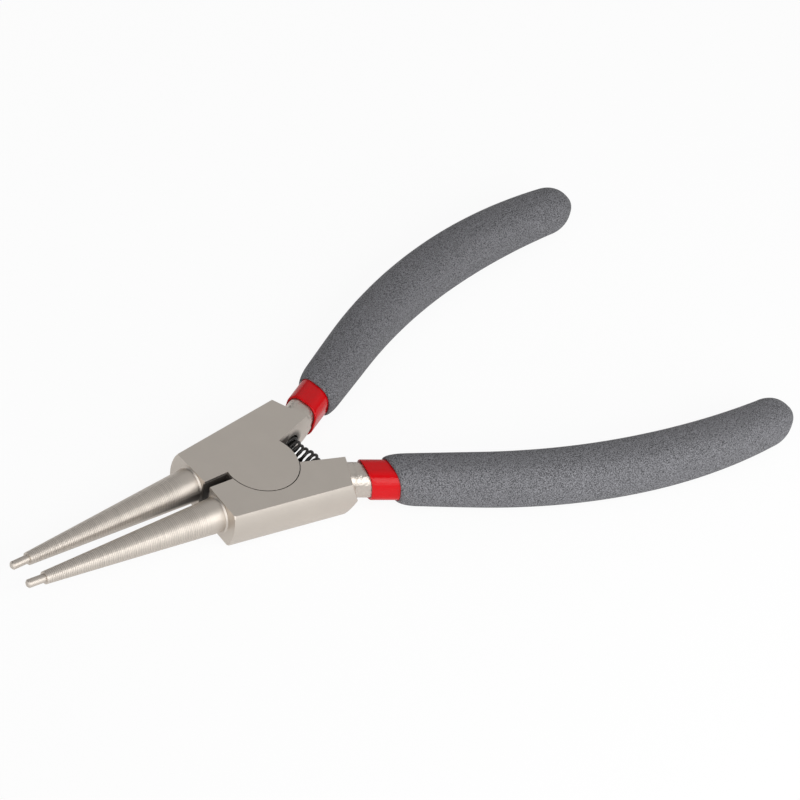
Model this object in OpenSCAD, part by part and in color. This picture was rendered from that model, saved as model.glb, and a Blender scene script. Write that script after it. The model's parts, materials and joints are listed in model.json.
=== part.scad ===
// Straight-tipped pliers for external circlips: two forged levers that meet in a lap joint,
// turned conical jaws with stepped tip pins, a coil return spring and handles dipped twice.
// The origin is on the pivot axis at the underside of the joint.
// +X runs from the pivot to the handles, +Y to the upper lever, and +Z is up.

/* [Joint] */
// Thickness of the forged joint
joint_t = 8.6; // [8:0.1:10]
// Radius of the two round laps
lap_r = 8.05; // [7.4:0.05:8.8]
// Radial gap between a lap and the recess that it turns in
lap_clear = 0.2; // [0.1:0.05:0.4]
// Gap between the two lap faces
lap_gap = 0.1; // [0.05:0.05:0.3]

/* [Head] */
// Distance from the pivot to the turned shoulder at the front
head_front = 14.2; // [12.5:0.1:17]
// Distance from the tool's axis to the outer side at the front shoulder
head_side = 10.05; // [9.5:0.05:11]
// Angle at which the outer side widens towards the handle
head_flare = 8.2; // [6:0.1:10]
// How far the outer side swells at mid thickness
side_swell = 1.0; // [0.6:0.1:1.4]
// How far the inner side behind the lap swells at mid thickness
throat_swell = 0.75; // [0.4:0.05:1]
// Distance along the handle from the pivot to the rear of the head, at mid thickness
head_rear = 20.2; // [19.5:0.1:21.5]
// Set-back of the rear edges on the top and bottom faces, from the forging draft
head_draft = 1.9; // [0.5:0.1:2.5]
// Step from the head's inner rear corner to the inner side of the arm
neck_step = 0.25; // [0.1:0.05:0.4]
// Gap between the two heads at the front shoulder
jaw_gap = 1.7; // [1.2:0.1:2.4]
// Gap between the two heads where it meets the laps at the front
lap_mouth = 2.1; // [1.4:0.1:3]
// Gap between the two heads where it meets the laps at the rear
throat_gap = 7.0; // [6:0.1:8]

/* [Jaws] */
// Length of a conical jaw from the shoulder to the step of the tip pin
jaw_len = 41.8; // [36:0.2:48]
// Radius of a jaw at the shoulder
jaw_base_r = 3.75; // [3.3:0.05:3.85]
// Radius of a jaw at the step of the tip pin
jaw_end_r = 1.35; // [1.2:0.05:1.6]
// Distance from the tool's axis to a jaw's axis at the shoulder
jaw_offset = 4.75; // [4.6:0.05:5.2]
// Angle at which each jaw leans towards the tool's axis
jaw_lean = 2.5; // [1.8:0.1:2.7]
// Width and height of the turned fillet round a jaw's base
jaw_fillet = 0.3; // [0.2:0.05:0.4]
// Radius of a tip pin
pin_r = 0.9; // [0.6:0.05:1.1]
// Length of a tip pin
pin_len = 4.0; // [3:0.1:5]
// Chamfer on the end of a tip pin
pin_chamfer = 0.3; // [0.1:0.05:0.4]
// Radius of the flat part of the turned shoulder
shoulder_r = 6.6; // [6:0.05:7]
// Angle at which the turned shoulder falls back outside that radius
shoulder_slope = 55; // [30:1:65]

/* [Pivot] */
// Radius of the rivet's shank
rivet_r = 3.0; // [2.5:0.05:3.5]
// Radius of the rivet's countersunk head
rivet_head_r = 4.2; // [3.8:0.05:4.6]
// Depth of the countersunk head
rivet_head_t = 1.4; // [1:0.05:1.8]
// Running clearance between the shank and the lower lap
rivet_clear = 0.04; // [0.02:0.01:0.08]
// Steel left over the end of the rivet in the upper lap
rivet_skin = 0.9; // [0.6:0.05:1.4]

/* [Return spring] */
// Distance from the pivot to the spring's axis
spring_x = 11.9; // [11.6:0.1:12.6]
// Outside diameter of the spring
spring_od = 4.4; // [4:0.1:4.8]
// Diameter of the spring's wire
spring_wire = 0.65; // [0.5:0.05:0.8]
// Open turns of the spring
spring_turns = 10; // [9:1:12]
// How far the spring bows away from the pivot at its middle
spring_bow = 0.6; // [0:0.1:0.8]
// How far the spring's axis leans at its middle, towards the pivot for each unit to the upper lever
spring_lean = 0.4; // [0:0.05:0.5]
// Angle about the spring's axis at which the wire starts in the lower pocket
spring_start = 68; // [0:1:360]
// Depth of the spring's pocket in each lever
pocket_depth = 3.0; // [2.4:0.1:3.4]
// Radial gap between the spring and its pocket
pocket_clear = 0.3; // [0.2:0.05:0.4]
// Gap between the end of the spring and the floor of its pocket
spring_seat = 0.1; // [0.05:0.05:0.2]

/* [Handles] */
// Angle between each handle's straight part and the tool's axis
handle_angle = 26.9; // [25:0.1:28]
// Distance from the pivot to the line of the handle's straight part
handle_offset = 0.75; // [0.5:0.05:1]
// Distance along the handle from the pivot to the start of its bend
handle_straight = 47.6; // [42:0.2:54]
// Radius of the handle's bend
handle_bend_r = 151; // [140:1:165]
// Angle of the handle's bend, up to the end of the steel arm
handle_bend = 27.0; // [24:0.1:29]
// Width of the steel arm
arm_w = 6.6; // [6:0.1:7]
// Thickness of the steel arm
arm_t = 6.6; // [6:0.1:7.2]
// Corner radius of the steel arm
arm_corner = 2.3; // [1.4:0.1:2.8]

/* [Dipped handles] */
// Distance along the handle from the pivot to the front edge of the upper inner sleeve, at its middle
upper_sleeve_start = 21.9; // [21.6:0.1:24]
// The same for the lower inner sleeve, which was dipped less deep
lower_sleeve_start = 22.8; // [21.6:0.1:24]
// Slant of a sleeve's edge: the outer side of the handle is bare for longer
sleeve_slant = 14; // [8:0.5:20]
// Tilt of a sleeve's edge: the side where the lever's lap lies is bare for longer
sleeve_tilt = 9.4; // [0:0.2:12]
// Wall of the inner sleeve
sleeve_wall = 0.4; // [0.25:0.05:0.6]
// Distance along the handle from the pivot to the front edge of the upper grip, at its middle
upper_grip_start = 29.2; // [27:0.1:32]
// The same for the lower grip
lower_grip_start = 28.6; // [27:0.1:32]
// Gap between the arm, the sleeve and the grip, where the layers are bonded
dip_gap = 0.05; // [0.04:0.01:0.08]
// Width of the grip behind its front edge
grip_w_front = 9.8; // [9.4:0.1:10.8]
// Width of the grip where it is widest
grip_w_mid = 11.2; // [10.8:0.1:12]
// Width of the grip where its nose begins
grip_w_end = 9.8; // [9.6:0.1:10.6]
// Thickness of the grip over its width
grip_ratio = 1.07; // [1:0.01:1.15]
// Distance along the handle from the pivot to the widest part of the grip
grip_mid = 84; // [75:1:95]
// Slant of a grip's front edge, as on the sleeves
grip_slant = 18; // [8:1:25]
// Tilt of a grip's front edge: on both levers its top lies nearer the pivot
grip_tilt = 9; // [0:0.5:12]
// Length behind the front edge over which the slant and the tilt fade out
grip_fade = 16; // [10:1:24]
// Length over which the grip's front edge rounds off
grip_lip = 4.2; // [2:0.1:6]
// Thickness of the grip's front edge
grip_rim = 0.3; // [0.2:0.05:0.6]
// Length of the grip past the end of the steel arm
grip_end = 8.9; // [8.4:0.1:11]
// Length of the grip's rounded nose
grip_nose = 7.0; // [5.5:0.1:7.6]

/* [Hidden] */

// Overlap that makes cuts and joined solids meet cleanly
eps = 0.5;
// How far the jaw's fillet runs on into the head
fillet_root = 0.1;
// How far the arm's front end is sunk into the rear of the head
arm_sink = 0.1;
// Facets of a full circle
round_fn = 96;
// Exponent of the grip's oval section
grip_squareness = 2.5;
// Points round the grip, a multiple of four
grip_sides = 28;
// Steps along the grip's front edge, body and nose
lip_steps = 4;
body_steps = 24;
nose_steps = 6;
// Steps along the sleeve's bend inside the grip
bore_steps = 14;
// Steps of the spring in one turn, sides of its wire and close turns at each end
coil_steps = 20;
wire_sides = 8;
end_turns = 1.25;

mid_z = joint_t / 2;
lap_top = mid_z + lap_gap / 2;
recess_r = lap_r + lap_clear;
sleeve_gap = dip_gap + sleeve_wall;
bore_gap = sleeve_gap + dip_gap;

// Degrees of the handle's bend that a length along it takes
function bend_degrees(length) = length / handle_bend_r * 180 / PI;

// Point of the plan, from a length along the handle and an offset away from the tool's axis
function handle_point(along, out) = [
    along * cos(handle_angle) - (handle_offset + out) * sin(handle_angle),
    along * sin(handle_angle) + (handle_offset + out) * cos(handle_angle)];

// Direction of the handle at a length along it
function heading(along) = handle_angle - bend_degrees(max(0, along - handle_straight));

// Centre line of the handle at a length along it: a straight, then an arc
function centre_line(along) = along <= handle_straight
    ? handle_point(along, 0)
    : handle_point(handle_straight, -handle_bend_r)
        + handle_bend_r * [-sin(heading(along)), cos(heading(along))];

// Section points, as [out, up], set across the handle at a length along it, and moved along it by a lean
// that holds the rise along the handle for each unit out and each unit up
function ring_at(along, section, lean = [0, 0]) = [
    for (p = section)
        let (ahead = p * lean, turn = heading(along))
        [centre_line(along)[0] + ahead * cos(turn) - p[0] * sin(turn),
         centre_line(along)[1] + ahead * sin(turn) + p[0] * cos(turn),
         mid_z + p[1]]];

// Outer side of the head at mid thickness, y = side_y + x * tan(head_flare), and the radius of its swell
side_y = head_side + head_front * tan(head_flare) + side_swell / cos(head_flare);
swell_r = (pow(mid_z, 2) + pow(side_swell, 2)) / (2 * side_swell);
throat_r = (pow(mid_z, 2) + pow(throat_swell, 2)) / (2 * throat_swell);
rear_in = handle_point(head_rear, throat_swell - arm_w / 2 - neck_step);
throat = [sqrt(pow(lap_r, 2) - pow(throat_gap / 2, 2)), throat_gap / 2];
mouth = [-sqrt(pow(lap_r, 2) - pow(lap_mouth / 2, 2)), lap_mouth / 2];

// Point of the front face, which is square to the jaw, at a distance from the tool's axis
function front_point(y) = [-head_front + (jaw_offset - y) * tan(jaw_lean), y];
front_in = front_point(jaw_gap / 2);

// Inner side of the head behind the lap: its slope on the top face, its turn, and its place at the spring
throat_slope = (rear_in[1] - throat[1]) / (rear_in[0] - throat[0]);
throat_turn = atan(throat_slope);
spring_face = throat[1] + (spring_x - throat[0]) * throat_slope - throat_swell / cos(throat_turn);
pocket_floor = spring_face + pocket_depth;
spring_half = pocket_floor - spring_seat;

arm_end = handle_straight + handle_bend_r * handle_bend * PI / 180;
grip_tip = arm_end + grip_end;

// Puts the upper lever's shape in the lower lever's place: half a turn about the tool's axis
module turned_over() {
    translate([0, 0, joint_t]) rotate([180, 0, 0]) children();
}

// Frame of the handle's straight part: X along the handle, Y away from the tool's axis
module handle_frame() {
    rotate([0, 0, handle_angle]) translate([0, handle_offset, mid_z]) children();
}

// Frame of a jaw: Z along the jaw from the shoulder to the tip
module jaw_frame() {
    translate([-head_front, jaw_offset, mid_z]) rotate([0, -90, jaw_lean]) children();
}

// Rectangle with round corners, centred
module round_rect(w, h, r) {
    square([w - 2 * r, h], center = true);
    square([w, h - 2 * r], center = true);
    for (x = [-1, 1], y = [-1, 1])
        translate([x * (w / 2 - r), y * (h / 2 - r)]) circle(r, $fn = round_fn);
}

// Bar along the handle, grown by gap round the steel arm and past its end
module handle_bar(start, gap) {
    turn = handle_bend + bend_degrees(gap);
    handle_frame() {
        translate([start, 0, 0]) rotate([90, 0, 90])
            linear_extrude(handle_straight - start) arm_section(gap);
        translate([handle_straight, -handle_bend_r, 0]) mirror([1, -1, 0])
            rotate_extrude(angle = turn, $fn = round_fn) translate([handle_bend_r, 0]) arm_section(gap);
    }
}

module arm_section(gap) {
    round_rect(arm_w + 2 * gap, arm_t + 2 * gap, arm_corner + gap);
}

// Head of the lever: a forged block with swelled sides and a rear end with draft both ways from mid thickness.
// Its outline runs on into the lap at the mouth, and past both sides and the rear.
module head_block() {
    inward = (throat_swell + eps) * [sin(throat_turn), -cos(throat_turn)];
    throat_in = throat - eps * [1, throat_slope] + inward;
    mouth_in = mouth + eps * (mouth - front_in) / (mouth[0] - front_in[0]);
    past_in = rear_in + eps * [1, throat_slope] + inward;
    past_out = [past_in[0], head_rear];
    far = 2 * head_rear;
    intersection() {
        linear_extrude(joint_t)
            polygon([front_in, front_point(head_rear), past_out, past_in, throat_in, mouth_in]);
        translate([0, side_y - swell_r / cos(head_flare), mid_z]) rotate([0, 90, head_flare])
            cylinder(h = 2 * far, r = swell_r, center = true, $fn = round_fn);
        translate([0, throat[1] - throat[0] * throat_slope + (throat_r - throat_swell) / cos(throat_turn), mid_z])
            rotate([0, 90, throat_turn]) cylinder(h = 2 * far, r = throat_r, center = true, $fn = round_fn);
        handle_frame() translate([0, far, 0]) rotate([90, 0, 0]) linear_extrude(2 * far)
            polygon([[-far, -mid_z], [head_rear - head_draft, -mid_z], [head_rear, 0],
                     [head_rear - head_draft, mid_z], [-far, mid_z]]);
    }
}

// Turned jaw: fillet, cone and chamfered tip pin, with the fillet's cone run on into the head
module jaw() {
    jaw_tip = jaw_len + pin_len;
    jaw_frame() rotate_extrude($fn = round_fn)
        polygon([[0, -eps], [jaw_base_r, -eps], [jaw_base_r + jaw_fillet + fillet_root, -fillet_root],
                 [jaw_base_r, jaw_fillet], [jaw_end_r, jaw_len], [pin_r, jaw_len],
                 [pin_r, jaw_tip - pin_chamfer], [pin_r - pin_chamfer, jaw_tip], [0, jaw_tip]]);
}

// What the lathe takes off the corners of the head round the jaw
module shoulder_cut() {
    reach = head_side;
    jaw_frame() rotate_extrude($fn = round_fn)
        polygon([[shoulder_r - eps / tan(shoulder_slope), eps], [shoulder_r + reach, eps],
                 [shoulder_r + reach, -reach * tan(shoulder_slope)]]);
}

// One lever without its pivot hole, in the upper lever's place, with its lap on top
module lever_blank() {
    difference() {
        union() {
            difference() {
                head_block();
                translate([0, 0, -eps]) cylinder(h = lap_top + eps, r = recess_r, $fn = round_fn);
                shoulder_cut();
            }
            translate([0, 0, lap_top]) cylinder(h = joint_t - lap_top, r = lap_r, $fn = round_fn);
            jaw();
            handle_bar(head_rear - head_draft * arm_t / joint_t - arm_sink, 0);
        }
        translate([spring_x, pocket_floor, mid_z]) rotate([90, 0, 0])
            cylinder(h = pocket_floor, r = spring_od / 2 + pocket_clear, $fn = round_fn);
    }
}

module lower_lever() {
    color([0.74, 0.71, 0.67]) difference() {
        turned_over() lever_blank();
        translate([0, 0, -eps]) cylinder(h = joint_t, r = rivet_r + rivet_clear, $fn = round_fn);
        translate([0, 0, -rivet_clear])
            cylinder(h = rivet_head_t, r1 = rivet_head_r + rivet_clear, r2 = rivet_r + rivet_clear, $fn = round_fn);
    }
}

module upper_lever() {
    color([0.70, 0.67, 0.63]) difference() {
        lever_blank();
        translate([0, 0, lap_top - eps])
            cylinder(h = joint_t - rivet_skin - lap_top + eps, r = rivet_r, $fn = round_fn);
    }
}

// Rivet with a flush countersunk head below and its shank pressed into the upper lap
module pivot_rivet() {
    color([0.62, 0.60, 0.57]) {
        cylinder(h = joint_t - rivet_skin, r = rivet_r, $fn = round_fn);
        cylinder(h = rivet_head_t - rivet_clear, r1 = rivet_head_r, r2 = rivet_r, $fn = round_fn);
    }
}

// Coil spring with close end turns: the wire's centre climbs slowly at the ends and evenly between them.
// Between the two pockets the coil sways, because nothing guides it there.
module return_spring() {
    turns = spring_turns + 2 * end_turns;
    steps = turns * coil_steps;
    coil_r = (spring_od - spring_wire) / 2;
    close_pitch = spring_wire * 1.06;
    half = spring_half - spring_wire / 2;
    end_rise = end_turns * close_pitch;
    open_pitch = (2 * half - 2 * end_rise) / spring_turns;
    function climb(turn) = turn < end_turns ? turn * close_pitch
        : turn > turns - end_turns ? 2 * half - (turns - turn) * close_pitch
        : end_rise + (turn - end_turns) * open_pitch;
    points = [for (i = [0 : steps], k = [0 : wire_sides - 1])
        let (turn = i / coil_steps,
             around = spring_start - 360 * turn,
             side = 360 * k / wire_sides,
             r = coil_r + spring_wire / 2 * cos(side),
             rise = climb(turn) - half,
             sway = pow(max(0, 1 - pow(rise / spring_face, 2)), 2))
        [spring_x + (spring_bow - spring_lean * rise) * sway + r * cos(around),
         rise + spring_wire / 2 * sin(side),
         mid_z + r * sin(around)]];
    walls = [for (i = [0 : steps - 1], k = [0 : wire_sides - 1])
        let (a = i * wire_sides + k, b = i * wire_sides + (k + 1) % wire_sides)
        each [[a, b + wire_sides, b], [a, a + wire_sides, b + wire_sides]]];
    first = [for (k = [0 : wire_sides - 1]) k];
    last = [for (k = [wire_sides - 1 : -1 : 0]) steps * wire_sides + k];
    color([0.12, 0.12, 0.13]) polyhedron(points, concat(walls, [first, last]));
}

// Inner dip: a thin closed sleeve over the steel arm, with a slanted front edge
module sleeve(start) {
    far = 4 * arm_w;
    difference() {
        handle_bar(start - arm_w, sleeve_gap);
        handle_bar(start - arm_w - eps, dip_gap);
        handle_frame() translate([start, 0, 0]) rotate([0, sleeve_tilt, -sleeve_slant])
            translate([-far, -far / 2, -far / 2]) cube(far);
    }
}

module lower_sleeve() {
    color([0.80, 0.11, 0.14]) turned_over() sleeve(lower_sleeve_start);
}

module upper_sleeve() {
    color([0.80, 0.11, 0.14]) sleeve(upper_sleeve_start);
}

// Width of the grip at a length along the handle: it swells to the middle and narrows to its nose
function grip_width(along, start) = along < grip_mid
    ? grip_w_mid - (grip_w_mid - grip_w_front) * pow((grip_mid - along) / (grip_mid - start), 2)
    : grip_w_mid - (grip_w_mid - grip_w_end) * pow((along - grip_mid) / (grip_tip - grip_nose - grip_mid), 2);

// Oval section of the grip: a superellipse
function oval(w, t) = [for (k = [0 : grip_sides - 1])
    let (a = 360 * (k + 0.5) / grip_sides)
    [w / 2 * sign(cos(a)) * pow(abs(cos(a)), 2 / grip_squareness),
     t / 2 * sign(sin(a)) * pow(abs(sin(a)), 2 / grip_squareness)]];

// Section of the arm grown by gap, with as many points as the oval and an arc at each corner
function bore_section(gap) = [for (k = [0 : grip_sides - 1])
    let (quarter = floor(4 * k / grip_sides),
         a = 90 * quarter + 90 * (k % (grip_sides / 4)) / (grip_sides / 4 - 1),
         middle = 90 * quarter + 45,
         r = arm_corner + gap)
    [sign(cos(middle)) * (arm_w / 2 - arm_corner) + r * cos(a),
     sign(sin(middle)) * (arm_t / 2 - arm_corner) + r * sin(a)]];

// Outer dip: an oval grip with a round front edge and nose, hollow over the sleeve
module grip(start, tilt) {
    rim_w = arm_w + 2 * (bore_gap + grip_rim);
    rim_t = arm_t + 2 * (bore_gap + grip_rim);
    body_start = start + grip_lip;
    body_end = grip_tip - grip_nose;
    bore_end = arm_end + bore_gap;
    function lean_at(along) = [tan(grip_slant), tan(tilt)] * max(0, 1 - (along - start) / grip_fade);
    lip = [for (i = [0 : lip_steps - 1])
        let (a = 90 * i / lip_steps, along = start + grip_lip * (1 - cos(a)), w = grip_width(along, start))
        ring_at(along, oval(rim_w + (w - rim_w) * sin(a), rim_t + (w * grip_ratio - rim_t) * sin(a)),
                lean_at(along))];
    body = [for (i = [0 : body_steps])
        let (along = body_start + (body_end - body_start) * i / body_steps, w = grip_width(along, start))
        ring_at(along, oval(w, w * grip_ratio), lean_at(along))];
    nose = [for (i = [1 : nose_steps - 1])
        let (a = 90 * i / nose_steps, along = body_end + grip_nose * sin(a))
        ring_at(along, oval(grip_w_end * cos(a), grip_w_end * grip_ratio * cos(a)))];
    bore_along = concat([start, handle_straight],
        [for (i = [1 : bore_steps]) handle_straight + (bore_end - handle_straight) * i / bore_steps]);
    bore = [for (along = bore_along) ring_at(along, bore_section(bore_gap), lean_at(along))];
    outer = concat(lip, body, nose);
    n = grip_sides;
    inner_at = len(outer) * n;
    points = concat([for (ring = outer) each ring], [for (ring = bore) each ring],
        [concat(centre_line(grip_tip), mid_z), concat(centre_line(bore_end), mid_z)]);
    outer_pole = len(points) - 2;
    inner_pole = len(points) - 1;
    skin = [for (i = [0 : len(outer) - 2], k = [0 : n - 1])
        let (a = i * n + k, b = i * n + (k + 1) % n)
        each [[a, b + n, b], [a, a + n, b + n]]];
    tip = [for (k = [0 : n - 1]) let (a = (len(outer) - 1) * n) [a + k, outer_pole, a + (k + 1) % n]];
    hole = [for (i = [0 : len(bore) - 2], k = [0 : n - 1])
        let (a = inner_at + i * n + k, b = inner_at + i * n + (k + 1) % n)
        each [[a, b, b + n], [a, b + n, a + n]]];
    floor_at = inner_at + (len(bore) - 1) * n;
    hole_end = [for (k = [0 : n - 1]) [floor_at + k, floor_at + (k + 1) % n, inner_pole]];
    rim = [for (k = [0 : n - 1])
        let (a = k, b = (k + 1) % n, c = inner_at + k, d = inner_at + (k + 1) % n)
        each [[a, b, d], [a, d, c]]];
    polyhedron(points, concat(skin, tip, hole, hole_end, rim));
}

module lower_grip() {
    color([0.40, 0.40, 0.42]) turned_over() grip(lower_grip_start, grip_tilt);
}

module upper_grip() {
    color([0.40, 0.40, 0.42]) grip(upper_grip_start, -grip_tilt);
}

lower_lever();
upper_lever();
pivot_rivet();
return_spring();
lower_sleeve();
upper_sleeve();
lower_grip();
upper_grip();
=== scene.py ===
"""Circlip pliers: satin nickel levers, a black coil spring and handles dipped in red and grey.

Lengths are metres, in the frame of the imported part: the pivot is the Z axis, and the handles
point along +X. The pliers lie in a pale studio.
"""

import json
import math

import bmesh
import bpy
import numpy as np
from mathutils import Matrix, Vector


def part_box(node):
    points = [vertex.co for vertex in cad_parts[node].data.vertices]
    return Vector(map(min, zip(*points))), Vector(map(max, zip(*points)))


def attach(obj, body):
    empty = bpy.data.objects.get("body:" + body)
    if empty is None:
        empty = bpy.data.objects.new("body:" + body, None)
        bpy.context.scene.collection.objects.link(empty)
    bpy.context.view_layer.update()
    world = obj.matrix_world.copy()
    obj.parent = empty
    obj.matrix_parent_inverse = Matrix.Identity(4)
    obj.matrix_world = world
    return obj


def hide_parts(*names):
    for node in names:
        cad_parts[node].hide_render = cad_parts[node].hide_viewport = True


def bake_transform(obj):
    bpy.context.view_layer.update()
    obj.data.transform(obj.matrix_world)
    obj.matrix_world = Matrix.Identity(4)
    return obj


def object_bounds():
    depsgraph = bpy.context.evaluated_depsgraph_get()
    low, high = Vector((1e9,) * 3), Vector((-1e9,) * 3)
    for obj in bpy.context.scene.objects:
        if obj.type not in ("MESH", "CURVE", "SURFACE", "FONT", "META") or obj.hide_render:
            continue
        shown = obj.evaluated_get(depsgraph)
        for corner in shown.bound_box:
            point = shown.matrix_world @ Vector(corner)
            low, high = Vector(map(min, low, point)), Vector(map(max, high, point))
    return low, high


bl_info = {
    "name": "Circlip pliers",
    "version": (1, 0, 0),
    "blender": (4, 5, 0),
    "location": "View3D > Sidebar > Pliers",
    "description": "Dresses the packed circlip pliers and sets up their studio",
    "category": "Object",
}

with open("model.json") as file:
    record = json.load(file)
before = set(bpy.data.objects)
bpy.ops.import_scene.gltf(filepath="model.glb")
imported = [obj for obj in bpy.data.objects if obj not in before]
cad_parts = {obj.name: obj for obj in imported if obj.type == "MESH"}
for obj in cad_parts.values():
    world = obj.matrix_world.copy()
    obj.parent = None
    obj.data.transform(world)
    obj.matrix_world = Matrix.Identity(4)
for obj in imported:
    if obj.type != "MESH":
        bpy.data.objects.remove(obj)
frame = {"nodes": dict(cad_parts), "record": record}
cad_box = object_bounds()

MM = 0.001
UPPER = 1
LOWER = -1
BODIES = {UPPER: "upper_half", LOWER: "lower_half"}
NAMES = {UPPER: "upper", LOWER: "lower"}

# Height of the joint's mid thickness, where every handle and jaw is centred
MID_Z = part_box("lower_lever")[1].z / 2


def mount(name):
    """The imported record's mount of that name."""
    return next(m for m in frame["record"]["mounts"] if m["name"] == name)


def linear(red, green, blue):
    """Linear colour from 8-bit display values."""
    display = np.array((red, green, blue)) / 255
    return tuple(np.where(display <= 0.04045, display / 12.92, ((display + 0.055) / 1.055) ** 2.4))


# Settings


def length(label, text, millimetres):
    """A length property with its default in millimetres."""
    return bpy.props.FloatProperty(
        name=label, description=text, default=millimetres * MM, precision=5,
        subtype="DISTANCE", unit="LENGTH",
    )


def angle(label, text, degrees):
    """An angle property with its default in degrees."""
    return bpy.props.FloatProperty(
        name=label, description=text, default=math.radians(degrees),
        subtype="ANGLE", unit="ROTATION",
    )


def colour(label, text, red, green, blue):
    """A colour property with its default in 8-bit display values."""
    return bpy.props.FloatVectorProperty(
        name=label, description=text, default=linear(red, green, blue),
        size=3, min=0, max=1, subtype="COLOR",
    )


def number(label, text, default, unit="NONE"):
    """A number property, with a unit where one fits."""
    return bpy.props.FloatProperty(name=label, description=text, default=default, unit=unit)


class HandleSizes(bpy.types.PropertyGroup):
    """The steel arm inside each handle, and the line that it follows."""

    angle: angle("Angle", "Angle between the handle's straight part and the tool's axis", 26.9)
    offset: length("Offset", "Distance from the pivot to the line of the straight part", 0.75)
    straight: length("Straight", "Length along the handle from the pivot to its bend", 47.6)
    bend_radius: length("Bend radius", "Radius of the bend", 151)
    bend: angle("Bend", "Angle of the bend, up to the end of the arm", 27.0)
    arm_width: length("Arm width", "Width of the steel arm", 6.6)
    arm_thickness: length("Arm thickness", "Thickness of the steel arm", 6.6)
    arm_corner: length("Arm corner", "Corner radius of the steel arm", 2.3)
    gap: length("Gap", "Gap between the arm, the sleeve and the grip", 0.05)


class SleeveSizes(bpy.types.PropertyGroup):
    """The thin inner dip that shows as a band in front of each grip."""

    upper_start: length("Upper start", "Front edge of the upper sleeve along its handle", 21.9)
    lower_start: length("Lower start", "Front edge of the lower sleeve along its handle", 22.8)
    slant: angle("Slant", "Slant of the front edge across the handle", 14)
    tilt: angle("Tilt", "Tilt of the front edge through the handle's thickness", 9.4)
    fade: length("Fade", "Length over which slant and tilt fade out", 12)
    wall: length("Wall", "Wall of the sleeve, with its skin", 0.5)


class GripSizes(bpy.types.PropertyGroup):
    """The thick outer dip."""

    upper_start: length("Upper start", "Front edge of the upper grip along its handle", 29.2)
    lower_start: length("Lower start", "Front edge of the lower grip along its handle", 28.6)
    slant: angle("Slant", "Slant of the front edge across the handle", 18)
    tilt: angle("Tilt", "Tilt of the front edge, nearer the pivot on top", 9)
    fade: length("Fade", "Length over which slant and tilt fade out", 16)
    front_width: length("Front width", "Width behind the front edge", 9.8)
    mid_width: length("Middle width", "Width where the grip is widest", 11.2)
    end_width: length("End width", "Width where the nose begins", 9.8)
    ratio: number("Thickness ratio", "Thickness over width", 1.07)
    squareness: number("Squareness", "Exponent of the oval section", 2.5)
    middle: length("Middle", "Widest place along the handle", 84)
    lip: length("Lip", "Length over which the front edge rounds off", 4.2)
    rim: length("Rim", "Thickness of the front edge", 0.3)
    end: length("End", "Length past the end of the steel arm", 8.9)
    nose: length("Nose", "Length of the rounded nose", 7.0)


class SpringSizes(bpy.types.PropertyGroup):
    """The coil return spring between the levers."""

    axis_x: length("Axis", "Distance from the pivot to the spring's axis", 11.9)
    outside: length("Outside diameter", "Outside diameter of the coil", 4.4)
    wire: length("Wire", "Diameter of the wire", 0.65)
    bow: length("Bow", "How far the spring bows away from the pivot", 0.6)
    lean: number("Lean", "Slope of the spring's axis at its middle, in plan", 0.4)
    pocket: length("Pocket", "Length of each end of the spring that lies in its pocket", 2.9)
    turns: number("Open turns", "Open turns of the coil", 10)
    end_turns: number("End turns", "Close turns at each end", 1.25)
    start: angle("Start", "Angle about the spring's axis at which the wire starts", 68)


class Finish(bpy.types.PropertyGroup):
    """Colours and edge softness."""

    nickel: colour("Nickel", "Satin nickel plating", 206, 198, 189)
    # Painted shade: the dark colour that stands in for the shade in the joint's recesses, round the
    # spring and between the jaws
    painted_shade: colour("Oiled steel", "Steel darkened by oil, in the joint and round the spring", 78, 72, 67)
    black: colour("Spring black", "Blackened spring wire", 44, 42, 41)
    red: colour("Sleeve red", "Glossy inner dip", 200, 9, 18)
    # Painted shade: the darker grey stands in for the shade in the hollows of the grip's grain
    grey_hollow_shade: colour("Grip dark grey", "Hollows of the grip's grain", 58, 58, 60)
    grey_light: colour("Grip light grey", "Crests of the grip's grain", 130, 130, 134)
    edge: length("Edge", "Width of the softened edges of the steel", 0.3)


class Studio(bpy.types.PropertyGroup):
    """Camera and light."""

    azimuth: angle("Azimuth", "Heading of the camera from +Y towards +X", 49.458)
    elevation: angle("Elevation", "Height of the camera above the horizon", 42.068)
    roll: angle("Roll", "Turn of the camera about its own axis", 15.927)
    distance: length("Distance", "Distance from the camera to its target", 777.42)
    target_x: length("Target X", "Point that the camera looks at", 42.1675)
    target_y: length("Target Y", "Point that the camera looks at", 4.5506)
    lens: number("Lens", "Focal length on a 36 mm sensor", 163.273, "CAMERA")
    right_power: number("Right power", "Power of the soft light on the right", 0.64, "POWER")
    sky: number("Sky", "Strength of the even light from all round", 0.08)
    front: number("Front light", "Strength of the wide soft light in front, on the left", 1.54)
    back: number("Back light", "Strength of the wide soft light behind the tool", 0.53)
    whiteness: number("Whiteness", "Share of the floor's white that shadows don't touch", 0.92)
    mirrored: number("Mirrored whiteness", "The same share, seen in the steel", 0.5)


class PliersSettings(bpy.types.PropertyGroup):
    """All settings of the pliers."""

    handle: bpy.props.PointerProperty(type=HandleSizes)
    sleeve: bpy.props.PointerProperty(type=SleeveSizes)
    grip: bpy.props.PointerProperty(type=GripSizes)
    spring: bpy.props.PointerProperty(type=SpringSizes)
    finish: bpy.props.PointerProperty(type=Finish)
    studio: bpy.props.PointerProperty(type=Studio)


# Shaders


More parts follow.
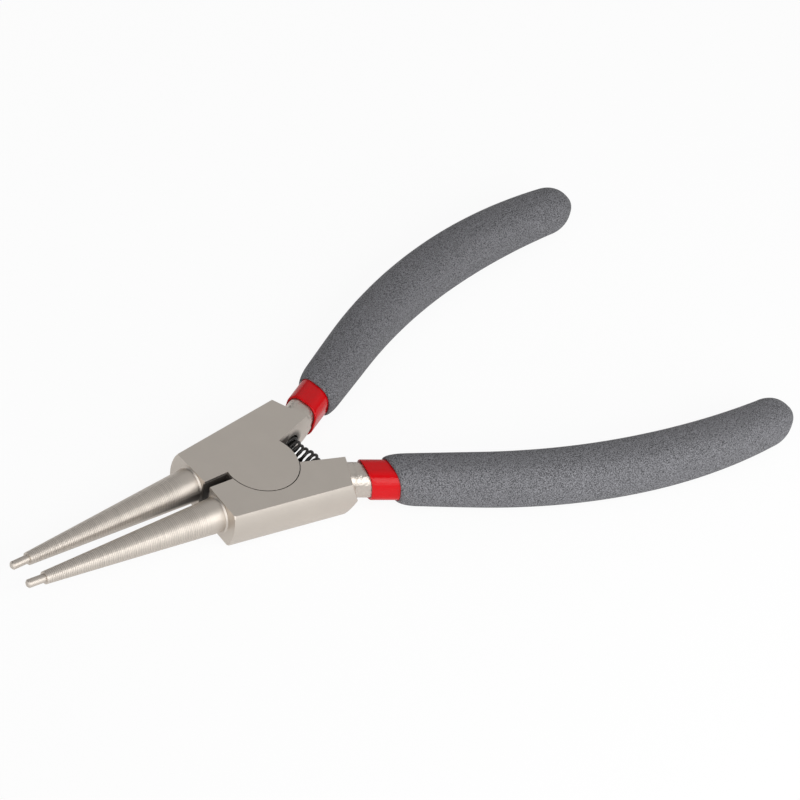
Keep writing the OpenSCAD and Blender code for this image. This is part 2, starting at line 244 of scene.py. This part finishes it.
class Value:
    """A number, colour or vector in a shader. Arithmetic on it adds Math nodes."""

    def __init__(self, shader, socket):
        self.shader = shader
        self.socket = socket

    def __add__(self, other):
        return self.shader.maths("ADD", self, other)

    def __radd__(self, other):
        return self.shader.maths("ADD", other, self)

    def __sub__(self, other):
        return self.shader.maths("SUBTRACT", self, other)

    def __rsub__(self, other):
        return self.shader.maths("SUBTRACT", other, self)

    def __mul__(self, other):
        return self.shader.maths("MULTIPLY", self, other)

    def ramp(self, low, high):
        """0 below low, 1 above high and a smooth rise between."""
        settings = {"interpolation_type": "SMOOTHSTEP"}
        inputs = {"Value": self, "From Min": low, "From Max": high}
        return self.shader.node("MapRange", settings, inputs)


class Shader:
    """A node tree for one surface, of a material or of the world."""

    def __init__(self, owner):
        owner.use_nodes = True
        self.owner = owner
        self.tree = owner.node_tree
        self.tree.nodes.clear()

    def node(self, kind, settings=None, inputs=None, output=0):
        """Adds a node, sets its settings and its sockets' values or links, and gives one output."""
        node = self.tree.nodes.new("ShaderNode" + kind)
        for name, value in (settings or {}).items():
            setattr(node, name, value)
        for key, value in (inputs or {}).items():
            if isinstance(value, Value):
                self.tree.links.new(value.socket, node.inputs[key])
            else:
                node.inputs[key].default_value = value
        return Value(self, node.outputs[output])

    def maths(self, operation, *values):
        """One Math node."""
        return self.node("Math", {"operation": operation}, dict(enumerate(values)))

    def place(self):
        """Object coordinates as a vector and as three numbers."""
        vector = self.node("TexCoord", output="Object")
        return vector, [self.node("SeparateXYZ", inputs={0: vector}, output=axis) for axis in "XYZ"]

    def noise(self, vector, size, detail=2.0, roughness=0.5):
        """Noise from 0 to 1 whose blobs are about size across."""
        inputs = {"Vector": vector, "Scale": 1 / size, "Detail": detail, "Roughness": roughness}
        return self.node("TexNoise", inputs=inputs)

    def mix(self, factor, low, high):
        """Colour between two colours, each a value or three numbers."""
        ends = [end if isinstance(end, Value) else (*end, 1) for end in (low, high)]
        return self.node("Mix", {"data_type": "RGBA"}, {0: factor, 6: ends[0], 7: ends[1]}, output=2)

    def relief(self, height, depth):
        """Normal of a surface whose height from 0 to 1 stands for that depth."""
        return self.node("Bump", inputs={"Strength": 1.0, "Distance": depth, "Height": height})

    def finish(self, **sockets):
        """Ends a material with one Principled surface."""
        inputs = {name.replace("_", " "): value for name, value in sockets.items()}
        self.close(self.node("BsdfPrincipled", inputs=inputs))
        return self.owner

    def close(self, surface, kind="OutputMaterial"):
        """Adds the output node."""
        output = self.tree.nodes.new("ShaderNode" + kind)
        self.tree.links.new(surface.socket, output.inputs["Surface"])


def material(name):
    """A shader for a new material."""
    return Shader(bpy.data.materials.new(name))


def scaled(tone, factor):
    """A colour made darker or lighter by a factor."""
    return tuple(factor * channel for channel in tone)


# Lengths over which the lever's finishes fade in: ahead of the pivot, behind the tip and along the handle
JAW_FADE = (14.4 * MM, 14.9 * MM)
LATHE_FADE = (16 * MM, 21 * MM)
PIN_FADE = (4 * MM, 5 * MM)
NECK_FADE = (19.6 * MM, 20.6 * MM)

# Lengths over which the painted shade in the joint's recesses ends: under the flats, round the spring,
# beside the tool's axis and along it
SHADE_UNDER_FLATS = (0.25 * MM, 0.9 * MM)
SHADE_ROUND_SPRING = (2.6 * MM, 3.9 * MM)
SHADE_BESIDE = (8 * MM, 8.5 * MM)
SHADE_CORNER_FRONT = (5 * MM, 6 * MM)
SHADE_CORNER_BACK = (10.2 * MM, 12.2 * MM)
SHADE_MOUTH_BESIDE = (1.05 * MM, 1.3 * MM)
SHADE_MOUTH_BACK = (4.5 * MM, 5.5 * MM)

# Lathe marks: their pitch, and a noise's size, its stretch along the jaw and how far it moves the rings
LATHE_PITCH = 0.41 * MM
UNEVEN_SIZE = 6 * MM
UNEVEN_STRETCH = 24
UNEVEN_PHASE = 4

# Shares of the lathe marks' level that are rings and noise
RING_LEVEL = 0.4
UNEVEN_LEVEL = 0.6

# Relief of the plating, and the share of it that each finish takes
PLATING_RELIEF = 0.2 * MM
GRAIN_SHARE = 0.02
LATHE_SHARE = 0.26
PEBBLE_SHARE = 0.9


def lathe_marks(shader, side, place):
    """Lathe marks round one jaw, a level about 0.5, and the mask of where they show.

    They are a sine along the jaw's axis. A noise that changes quickly along the axis and slowly round it
    shifts the sine's phase and level, so the rings are uneven.
    """
    x, y, z = place
    axis = Vector(mount(NAMES[side] + "_tip")["axis"])
    along = x * axis.x + y * axis.y
    across = y * axis.x - x * axis.y
    stretched = shader.node("CombineXYZ", inputs={0: along * UNEVEN_STRETCH, 1: across, 2: z})
    uneven = shader.noise(stretched, size=UNEVEN_SIZE, roughness=0.6)
    rings = shader.maths("SINE", along * (2 * math.pi / LATHE_PITCH) + uneven * UNEVEN_PHASE)
    marks = 0.5 + rings * RING_LEVEL + (uneven - 0.5) * UNEVEN_LEVEL
    tip_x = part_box(NAMES[side] + "_lever")[0].x
    return marks, (0 - x).ramp(*LATHE_FADE) * (x - tip_x).ramp(*PIN_FADE)


def painted_shade_mask(shader, place, spring):
    """1 where the steel is darkened by painted shade: round the spring, in the corner behind the lap and
    in the mouth between the jaws.

    Each patch is a product of soft limits, and the painted shade is the greatest of the three.
    """
    x, y, z = place
    from_middle = shader.maths("ABSOLUTE", z - MID_Z)
    under_flats = (MID_Z - from_middle).ramp(*SHADE_UNDER_FLATS)
    beside = shader.maths("ABSOLUTE", y)
    near_axis = 1 - beside.ramp(*SHADE_BESIDE)
    from_spring = shader.maths("POWER", x - spring.axis_x, 2) + shader.maths("POWER", z - MID_Z, 2)
    pocket = near_axis * (1 - from_spring.ramp(*(reach ** 2 for reach in SHADE_ROUND_SPRING)))
    corner = near_axis * under_flats * x.ramp(*SHADE_CORNER_FRONT) * (1 - x.ramp(*SHADE_CORNER_BACK))
    mouth = (1 - beside.ramp(*SHADE_MOUTH_BESIDE)) * under_flats * (0 - x).ramp(*SHADE_MOUTH_BACK)
    return shader.maths("MAXIMUM", shader.maths("MAXIMUM", pocket, corner), mouth)


def satin_nickel(side, settings):
    """Satin nickel on one lever: fine grain, lathe marks on the jaw, a rough neck and painted shade in
    the joint's recesses.
    """
    shader = material(NAMES[side] + "_satin_nickel")
    vector, place = shader.place()
    x, y, _ = place
    handle = settings.handle
    along_handle = x * math.cos(handle.angle) + y * (side * math.sin(handle.angle))
    jaw = (0 - x).ramp(*JAW_FADE)
    neck = along_handle.ramp(*NECK_FADE)
    marks, turned = lathe_marks(shader, side, place)
    painted_shade = painted_shade_mask(shader, place, settings.spring)
    grain = shader.noise(vector, size=0.16 * MM)
    cloud = shader.noise(vector, size=5 * MM, detail=3.0)
    pebbles = shader.noise(vector, size=0.7 * MM, detail=3.0, roughness=0.6)

    nickel = settings.finish.nickel
    shade = shader.mix(cloud.ramp(0.3, 0.75), scaled(nickel, 0.97), nickel)
    lines = shader.mix(marks, scaled(nickel, 0.76), scaled(nickel, 1.17))
    plating = shader.mix(turned, shade, lines)
    height = grain * GRAIN_SHARE + marks * turned * LATHE_SHARE + pebbles * neck * PEBBLE_SHARE
    return shader.finish(
        # Painted shade: in the joint's recesses the steel turns dark and less metallic
        Base_Color=shader.mix(painted_shade, plating, settings.finish.painted_shade),
        Metallic=1 - painted_shade * 0.6,
        Roughness=0.36 + cloud * 0.06 + jaw * 0.1,
        Normal=shader.relief(height, PLATING_RELIEF),
    )


def blackened_wire(settings):
    """Blackened spring wire with a dull sheen, rubbed lighter in places."""
    shader = material("blackened_wire")
    vector, _ = shader.place()
    rub = shader.noise(vector, size=0.6 * MM, detail=3.0)
    black = settings.finish.black
    return shader.finish(
        Base_Color=shader.mix(rub.ramp(0.35, 0.8), black, scaled(black, 1.8)),
        Metallic=0.6,
        Roughness=0.3 + rub * 0.2,
    )


def red_dip(settings):
    """Glossy red dip with the faint waves of a skin that ran before it set."""
    shader = material("red_dip")
    vector, _ = shader.place()
    waves = shader.noise(vector, size=3.5 * MM, detail=1.0)
    cloud = shader.noise(vector, size=1.2 * MM)
    red = settings.finish.red
    return shader.finish(
        Base_Color=shader.mix(cloud, scaled(red, 0.9), red),
        Roughness=0.12 + cloud * 0.06,
        Specular_IOR_Level=0.2,
        Normal=shader.relief(waves, depth=0.05 * MM),
    )


def grey_dip(settings):
    """Matt grey dip with a fine leathery grain, its hollows darkened as painted shade."""
    shader = material("grey_dip")
    vector, _ = shader.place()
    grain = shader.noise(vector, size=0.24 * MM, roughness=0.6)
    cloud = shader.noise(vector, size=4 * MM)
    crest = grain.ramp(0.3, 0.62)
    return shader.finish(
        # The low parts of the grain's relief get the darker grey as painted shade
        Base_Color=shader.mix(crest, settings.finish.grey_hollow_shade, settings.finish.grey_light),
        Roughness=0.6 - crest * 0.08 + cloud * 0.06,
        Specular_IOR_Level=0.25,
        Normal=shader.relief(crest, depth=0.1 * MM),
    )


# Surfaces


def handle_line(along, handle):
    """Centre, direction and outward side of the handle, in plan, at lengths along it.

    The line is straight at first and then an arc that turns back towards the tool's axis.
    """
    turn = handle.angle - np.maximum(0, along - handle.straight) / handle.bend_radius
    direction = np.stack([np.cos(turn), np.sin(turn)], -1)
    outward = np.stack([-np.sin(turn), np.cos(turn)], -1)
    start = np.array([math.cos(handle.angle), math.sin(handle.angle)])
    start_out = np.array([-start[1], start[0]])
    on_straight = along[:, None] * start + handle.offset * start_out
    hub = handle.straight * start + (handle.offset - handle.bend_radius) * start_out
    on_bend = hub + handle.bend_radius * outward
    return np.where((along <= handle.straight)[:, None], on_straight, on_bend), direction, outward


def handle_rings(along, section, lean, handle):
    """Rings of points across the handle.

    Each section point (out, up) is set out from the centre line, and moved along it by out and up times
    the ring's lean.
    """
    centre, direction, outward = handle_line(along, handle)
    ahead = (section * lean[:, None]).sum(-1, keepdims=True)
    plan = centre[:, None] + ahead * direction[:, None] + section[..., :1] * outward[:, None]
    return np.concatenate([plan, MID_Z + section[..., 1:]], -1)


def rounded_rectangle(handle, grow, sides):
    """Sections of the arm grown by each value of grow: straight sides, a quarter arc at each corner."""
    step = np.arange(sides)
    quarter = step * 4 // sides
    turn = np.pi / 2 * (quarter + (step % (sides // 4)) / (sides // 4 - 1))
    middle = np.pi / 2 * (quarter + 0.5)
    half = np.array([handle.arm_width, handle.arm_thickness]) / 2 - handle.arm_corner
    corner = np.sign(np.stack([np.cos(middle), np.sin(middle)], -1)) * half
    radius = handle.arm_corner + grow
    return corner + radius[:, None, None] * np.stack([np.cos(turn), np.sin(turn)], -1)


def oval(width, thickness, squareness, sides):
    """Superellipse sections: a cosine and a sine to the power 2 over the squareness, signs kept."""
    turn = 2 * np.pi * (np.arange(sides) + 0.5) / sides
    across = np.sign(np.cos(turn)) * np.abs(np.cos(turn)) ** (2 / squareness)
    up = np.sign(np.sin(turn)) * np.abs(np.sin(turn)) ** (2 / squareness)
    return np.stack([width[:, None] / 2 * across, thickness[:, None] / 2 * up], -1)


def piece(name, rings, first_pole, last_pole, finish):
    """A closed mesh through rings of points, with a fan to a pole at each end.

    Where its volume, a sum of products of its triangles' corners, is negative, its faces are turned.
    """
    count, sides = rings.shape[:2]
    points = np.concatenate([rings.reshape(-1, 3), [first_pole, last_pole]])
    corner = np.arange(sides)
    next_corner = np.roll(corner, -1)
    ring_start = np.arange(count - 1)[:, None] * sides
    this = (ring_start + corner).ravel()
    beside = (ring_start + next_corner).ravel()
    quads = np.stack([this, beside, beside + sides, this + sides], -1)
    last_start = (count - 1) * sides
    fans = np.concatenate([
        np.stack([next_corner, corner, np.full(sides, len(points) - 2)], -1),
        np.stack([last_start + corner, last_start + next_corner, np.full(sides, len(points) - 1)], -1),
    ])
    triangles = np.concatenate([quads[:, :3], quads[:, [0, 2, 3]], fans])
    first, second, third = points[triangles].transpose(1, 0, 2)
    volume = (first * np.cross(second, third)).sum() / 6
    if volume < 0:
        quads, fans = quads[:, ::-1], fans[:, ::-1]
    mesh = bpy.data.meshes.new(name)
    mesh.from_pydata(points.tolist(), [], quads.tolist() + fans.tolist())
    mesh.polygons.foreach_set("use_smooth", np.ones(len(mesh.polygons), bool))
    mesh.update()
    item = bpy.data.objects.new(name, mesh)
    bpy.context.scene.collection.objects.link(item)
    mesh.materials.append(finish)
    return item


def turned_over(points):
    """Half a turn about the tool's axis, which takes the upper lever's place to the lower one's."""
    return points * (1, -1, -1) + (0, 0, 2 * MID_Z)


def dipped_piece(name, side, outer, bore, outer_pole, bore_pole, finish):
    """A dip over one handle: its bore from the floor to the front, then its outside back to the end."""
    rings = np.concatenate([bore[::-1], outer])
    poles = np.array([bore_pole, outer_pole])
    if side == LOWER:
        rings, poles = turned_over(rings), turned_over(poles)
    return piece(name, rings, poles[0], poles[1], finish)


def pole_at(along, handle):
    """The point of the handle's centre line at a length along it."""
    centre, _, _ = handle_line(np.array([along]), handle)
    return np.array([*centre[0], MID_Z])


# Limits of the forged copies: points that are merged, faces that are joined and edges that are softened
MERGE_DISTANCE = 0.002 * MM
FLAT_ANGLE = math.radians(0.4)
SHARP_ANGLE = math.radians(20)


def forged_copy(node, finish, edge):
    """A copy of a CAD node with its flats joined and its sharp edges softened by a narrow round."""
    mesh = frame["nodes"][node].data.copy()
    mesh.name = node + "_forged"
    mesh.materials.clear()
    mesh.materials.append(finish)
    shape = bmesh.new()
    shape.from_mesh(mesh)
    bmesh.ops.remove_doubles(shape, verts=shape.verts, dist=MERGE_DISTANCE)
    bmesh.ops.dissolve_limit(
        shape, angle_limit=FLAT_ANGLE, verts=shape.verts, edges=shape.edges, delimit=set()
    )
    shared = [e for e in shape.edges if len(e.link_faces) == 2]
    sharp = [e for e in shared if e.calc_face_angle() > SHARP_ANGLE]
    bmesh.ops.bevel(
        shape, geom=sharp, offset=edge, offset_type="OFFSET", segments=2, profile=0.5,
        affect="EDGES", clamp_overlap=True, miter_outer="ARC", material=-1,
    )
    for face in shape.faces:
        face.smooth = True
    shape.to_mesh(mesh)
    shape.free()
    item = bpy.data.objects.new(node + "_forged", mesh)
    bpy.context.scene.collection.objects.link(item)
    weigh = item.modifiers.new("even_flats", "WEIGHTED_NORMAL")
    weigh.mode = "FACE_AREA"
    weigh.weight = 100
    weigh.keep_sharp = True
    return item


# Operators


def settings_of(context):
    """The scene's pliers settings."""
    return context.scene.pliers


class PLIERS_OT_levers(bpy.types.Operator):
    """Forge the two levers with softened edges and satin nickel"""

    bl_idname = "pliers.levers"
    bl_label = "Levers"

    def execute(self, context):
        settings = settings_of(context)
        for side in (LOWER, UPPER):
            node = NAMES[side] + "_lever"
            lever = forged_copy(node, satin_nickel(side, settings), settings.finish.edge)
            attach(lever, BODIES[side])
            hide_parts(node)
        return {"FINISHED"}


class PLIERS_OT_rivet(bpy.types.Operator):
    """Plate the rivet as the levers are plated"""

    bl_idname = "pliers.rivet"
    bl_label = "Rivet"

    def execute(self, context):
        mesh = frame["nodes"]["pivot_rivet"].data
        mesh.materials.clear()
        mesh.materials.append(bpy.data.materials["lower_satin_nickel"])
        return {"FINISHED"}


class PLIERS_OT_spring(bpy.types.Operator):
    """Coil the return spring

    A circle of the wire's size goes round a helix about Y, whose turns are close at both ends and open
    between. Between the pockets its axis sways: a straight line, times a bump that is flat at both
    pockets.
    """

    bl_idname = "pliers.spring"
    bl_label = "Return spring"

    steps_a_turn = 40
    wire_sides = 14

    # Pitch of the close turns in wire diameters, and reach of the blend in half lengths of the coil
    close_pitch = 1.06
    blend_reach = 1.2

    def execute(self, context):
        sizes = settings_of(context).spring
        low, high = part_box("return_spring")
        half = (high.y - low.y - sizes.wire) / 2
        turns = sizes.turns + 2 * sizes.end_turns
        end_rise = sizes.end_turns * self.close_pitch * sizes.wire
        turn = np.linspace(0, turns, int(turns * self.steps_a_turn) + 1)
        knots = [0, sizes.end_turns, turns - sizes.end_turns, turns]
        rise = np.interp(turn, knots, [-half, end_rise - half, half - end_rise, half])
        side = 2 * np.pi * np.arange(self.wire_sides) / self.wire_sides
        radius = (sizes.outside - sizes.wire) / 2 + sizes.wire / 2 * np.cos(side)
        mouth = half + sizes.wire / 2 - sizes.pocket
        sway = np.clip(1 - (rise / mouth) ** 2, 0, 1) ** 2
        axis_x = sizes.axis_x + (sizes.bow - sizes.lean * rise) * sway
        around = sizes.start - 2 * np.pi * turn[:, None]
        rings = np.stack([
            axis_x[:, None] + radius * np.cos(around),
            rise[:, None] + sizes.wire / 2 * np.sin(side) + 0 * around,
            MID_Z + radius * np.sin(around),
        ], -1)
        finish = blackened_wire(settings_of(context))
        spring = piece("return_spring_coil", rings, rings[0].mean(0), rings[-1].mean(0), finish)
        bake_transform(spring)
        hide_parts("return_spring")
        return {"FINISHED"}


class PLIERS_OT_sleeves(bpy.types.Operator):
    """Dip the handles in red

    A rounded rectangle goes along the handle. At the front a half round joins its bore to its outside.
    """

    bl_idname = "pliers.sleeves"
    bl_label = "Sleeves"

    sides = 64
    lip_steps = 9
    body_steps = 90
    lip_length = 1 * MM

    def execute(self, context):
        settings = settings_of(context)
        handle, sizes = settings.handle, settings.sleeve
        finish = red_dip(settings)
        arm_end = handle.straight + handle.bend_radius * handle.bend
        lean = np.array([math.tan(sizes.slant), math.tan(sizes.tilt) / math.cos(sizes.slant)])
        for side in (LOWER, UPPER):
            start = getattr(sizes, NAMES[side] + "_start")
            body = np.linspace(start + self.lip_length, arm_end, self.body_steps)
            turn = np.linspace(0, np.pi, self.lip_steps)
            lip = start + sizes.wall / 2 * (1 - np.sin(turn))
            grow = handle.gap + sizes.wall / 2 * (1 - np.cos(turn))
            outer_along = np.concatenate([lip[1:], body, [arm_end + handle.gap + sizes.wall]])
            outer_grow = np.concatenate([grow[1:], np.full(len(body) + 1, handle.gap + sizes.wall)])
            bore_along = np.concatenate([[start + sizes.wall / 2], body, [arm_end + handle.gap]])
            bore_grow = np.full(len(bore_along), handle.gap)

            def sweep(along, grow):
                """Rings of the arm's section, grown, whose lean fades out behind the front edge."""
                fade = np.clip(1 - (along - start) / sizes.fade, 0, 1)
                section = rounded_rectangle(handle, grow, self.sides)
                return handle_rings(along, section, fade[:, None] * lean, handle)

            outer, bore = sweep(outer_along, outer_grow), sweep(bore_along, bore_grow)
            sleeve = dipped_piece(
                NAMES[side] + "_sleeve_dip", side, outer, bore,
                pole_at(outer_along[-1], handle), pole_at(bore_along[-1], handle), finish,
            )
            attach(sleeve, BODIES[side])
            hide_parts(NAMES[side] + "_sleeve")
        return {"FINISHED"}


class PLIERS_OT_grips(bpy.types.Operator):
    """Dip the handles in grey

    An oval goes along the handle. Its width rises as a quarter ellipse behind the front edge, swells
    to the middle as a parabola, narrows as another and closes as an ellipse at the nose.
    """

    bl_idname = "pliers.grips"
    bl_label = "Grips"

    sides = 96
    lip_steps = 13
    body_steps = 150
    nose_steps = 22
    bore_steps = 60

    def execute(self, context):
        settings = settings_of(context)
        handle, sizes = settings.handle, settings.grip
        finish = grey_dip(settings)
        arm_end = handle.straight + handle.bend_radius * handle.bend
        tip = arm_end + sizes.end
        nose_start = tip - sizes.nose
        bore_gap = 2 * handle.gap + settings.sleeve.wall
        rim = np.array([handle.arm_width, handle.arm_thickness]) + 2 * (bore_gap + sizes.rim)
        for side in (LOWER, UPPER):
            start = getattr(sizes, NAMES[side] + "_start")
            lean = np.array([math.tan(sizes.slant), -side * math.tan(sizes.tilt)])

            def width_at(along):
                """Two parabolas that meet at the widest place."""
                before = along < sizes.middle
                end_width = np.where(before, sizes.front_width, sizes.end_width)
                reach = np.where(before, sizes.middle - start, nose_start - sizes.middle)
                drop = sizes.mid_width - end_width
                return sizes.mid_width - drop * ((along - sizes.middle) / reach) ** 2

            def lean_at(along):
                """The front edge's lean, which fades out in a straight line."""
                return np.clip(1 - (along - start) / sizes.fade, 0, 1)[:, None] * lean

            turn = np.linspace(0, np.pi / 2, self.lip_steps)[:-1]
            lip_along = start + sizes.lip * (1 - np.cos(turn))
            lip_width = rim[0] + (width_at(lip_along) - rim[0]) * np.sin(turn)
            lip_thick = rim[1] + (width_at(lip_along) * sizes.ratio - rim[1]) * np.sin(turn)
            body_along = np.linspace(start + sizes.lip, nose_start, self.body_steps)
            body_width = width_at(body_along)
            turn = np.linspace(0, np.pi / 2, self.nose_steps)[1:-1]
            nose_along = nose_start + sizes.nose * np.sin(turn)
            nose_width = sizes.end_width * np.cos(turn)
            along = np.concatenate([lip_along, body_along, nose_along])
            width = np.concatenate([lip_width, body_width, nose_width])
            thick = np.concatenate([lip_thick, body_width * sizes.ratio, nose_width * sizes.ratio])
            section = oval(width, thick, sizes.squareness, self.sides)
            outer = handle_rings(along, section, lean_at(along), handle)
            bore_along = np.linspace(start, arm_end + bore_gap, self.bore_steps)
            section = rounded_rectangle(handle, np.full(self.bore_steps, bore_gap), self.sides)
            bore = handle_rings(bore_along, section, lean_at(bore_along), handle)
            grip = dipped_piece(
                NAMES[side] + "_grip_dip", side, outer, bore,
                pole_at(tip, handle), pole_at(bore_along[-1], handle), finish,
            )
            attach(grip, BODIES[side])
            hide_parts(NAMES[side] + "_grip")
        return {"FINISHED"}


# Right light: where it stands as seen from the pivot, how far off, and its width and height
RIGHT_DIRECTION = (0.27, -0.77, 0.55)
RIGHT_DISTANCE = 0.33
RIGHT_SIZE = (0.3, 0.26)

# Lights in the sky: their directions, and the cosines from them at which light starts and is full
FRONT_DIRECTION = (-0.74, -0.62, 0.25)
FRONT_SPREAD = (0.4, 0.9)
BACK_DIRECTION = (0.57, 0.34, 0.75)
BACK_SPREAD = (0.55, 0.97)

# Sines of the heights over which the white horizon ends
HORIZON_FADE = (0.1, 0.25)

FLOOR_HALF = 3.0
FLOOR_GAP = 0.02 * MM
FLOOR_WHITE = (0.9, 0.9, 0.9, 1)
GLOW_WHITE = (1, 1, 1, 1)
SENSOR_WIDTH = 36


class PLIERS_OT_studio(bpy.types.Operator):
    """Set up the floor, the lights and the camera"""

    bl_idname = "pliers.studio"
    bl_label = "Studio"

    def execute(self, context):
        studio = settings_of(context).studio
        context.scene.view_settings.view_transform = "Standard"
        self.floor(studio)
        self.world(context.scene, studio)
        self.right_light(studio)
        self.camera(context.scene, studio)
        return {"FINISHED"}

    def floor(self, studio):
        """A white floor that camera and glossy rays see as white, with the object's shadow in it."""
        z = cad_box[0].z - FLOOR_GAP
        corners = [(FLOOR_HALF * x, FLOOR_HALF * y, z) for x, y in ((-1, -1), (1, -1), (1, 1), (-1, 1))]
        mesh = bpy.data.meshes.new("floor")
        mesh.from_pydata(corners, [], [(0, 1, 2, 3)])
        floor = bpy.data.objects.new("floor", mesh)
        bpy.context.scene.collection.objects.link(floor)
        shader = material("white_floor")
        white = shader.node("BsdfDiffuse", inputs={"Color": FLOOR_WHITE})
        glow = shader.node("Emission", inputs={"Color": GLOW_WHITE, "Strength": 1.0})
        camera, mirrored = self.seen(shader)
        lit = shader.maths("MAXIMUM", camera * studio.whiteness, mirrored * studio.mirrored)
        shader.close(shader.node("MixShader", inputs={0: lit, 1: white, 2: glow}))
        mesh.materials.append(shader.owner)

    def seen(self, shader):
        """1 for a ray from the camera, and 1 for a ray from a mirroring or clear surface."""
        rays = ["Is Camera Ray", "Is Glossy Ray", "Is Transmission Ray"]
        camera, glossy, clear = (shader.node("LightPath", output=ray) for ray in rays)
        return camera, shader.maths("MAXIMUM", glossy, clear)

    def world(self, scene, studio):
        """A dim even sky, white at the horizon, with a wide soft light in front and one behind."""
        scene.world = bpy.data.worlds.new("studio_sky")
        shader = Shader(scene.world)
        direction = shader.node("TexCoord", output="Generated")
        height = shader.node("SeparateXYZ", inputs={0: direction}, output="Z")
        product = {"operation": "DOT_PRODUCT"}
        to_front = shader.node("VectorMath", product, {0: direction, 1: FRONT_DIRECTION}, "Value")
        to_back = shader.node("VectorMath", product, {0: direction, 1: BACK_DIRECTION}, "Value")
        horizon = 1 - height.ramp(*HORIZON_FADE)
        lights = to_front.ramp(*FRONT_SPREAD) * studio.front + to_back.ramp(*BACK_SPREAD) * studio.back
        strength = studio.sky + horizon * (1 - studio.sky) + lights
        sky = shader.node("Background", inputs={"Color": GLOW_WHITE, "Strength": strength})
        shader.close(sky, "OutputWorld")

    def right_light(self, studio):
        """A rectangular soft light on the right that faces the pivot."""
        lamp = bpy.data.lights.new("right_light", "AREA")
        lamp.shape = "RECTANGLE"
        lamp.size, lamp.size_y = RIGHT_SIZE
        lamp.energy = studio.right_power
        light = bpy.data.objects.new("right_light", lamp)
        light.visible_camera = False
        bpy.context.scene.collection.objects.link(light)
        away = Vector(RIGHT_DIRECTION).normalized()
        light.location = Vector((0, 0, MID_Z)) + RIGHT_DISTANCE * away
        light.rotation_euler = away.to_track_quat("Z", "Y").to_euler()

    def camera(self, scene, studio):
        """The camera of the photograph's view."""
        target = Vector((studio.target_x, studio.target_y, MID_Z))
        azimuth = studio.azimuth
        level = math.cos(studio.elevation)
        drop = math.sin(studio.elevation)
        forward = Vector((math.sin(azimuth) * level, math.cos(azimuth) * level, -drop))
        right = Vector((math.cos(azimuth), -math.sin(azimuth), 0))
        up = right.cross(forward)
        turn = math.cos(studio.roll), math.sin(studio.roll)
        right, up = turn[0] * right + turn[1] * up, turn[0] * up - turn[1] * right
        lens = bpy.data.cameras.new("photo_camera")
        lens.sensor_width = SENSOR_WIDTH
        lens.sensor_fit = "HORIZONTAL"
        lens.lens = studio.lens
        lens.clip_start = 0.01
        camera = bpy.data.objects.new("photo_camera", lens)
        scene.collection.objects.link(camera)
        rotation = Matrix((right, up, -forward)).transposed().to_4x4()
        camera.matrix_world = Matrix.Translation(target - studio.distance * forward) @ rotation
        scene.camera = camera


class PLIERS_PT_sidebar(bpy.types.Panel):
    """The steps that dress the pliers"""

    bl_idname = "PLIERS_PT_sidebar"
    bl_label = "Circlip pliers"
    bl_space_type = "VIEW_3D"
    bl_region_type = "UI"
    bl_category = "Pliers"

    def draw(self, context):
        for step in STEPS:
            self.layout.operator(step.bl_idname)


STEPS = (
    PLIERS_OT_levers, PLIERS_OT_rivet, PLIERS_OT_spring,
    PLIERS_OT_sleeves, PLIERS_OT_grips, PLIERS_OT_studio,
)
GROUPS = (HandleSizes, SleeveSizes, GripSizes, SpringSizes, Finish, Studio, PliersSettings)
CLASSES = (*GROUPS, *STEPS, PLIERS_PT_sidebar)


def register():
    for cls in CLASSES:
        bpy.utils.register_class(cls)
    bpy.types.Scene.pliers = bpy.props.PointerProperty(type=PliersSettings)


def unregister():
    del bpy.types.Scene.pliers
    for cls in reversed(CLASSES):
        bpy.utils.unregister_class(cls)


def main():
    """Registers the add-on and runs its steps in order."""
    register()
    bpy.ops.pliers.levers()
    bpy.ops.pliers.rivet()
    bpy.ops.pliers.spring()
    bpy.ops.pliers.sleeves()
    bpy.ops.pliers.grips()
    bpy.ops.pliers.studio()
    bpy.context.view_layer.update()


if __name__ == "__main__":
    main()
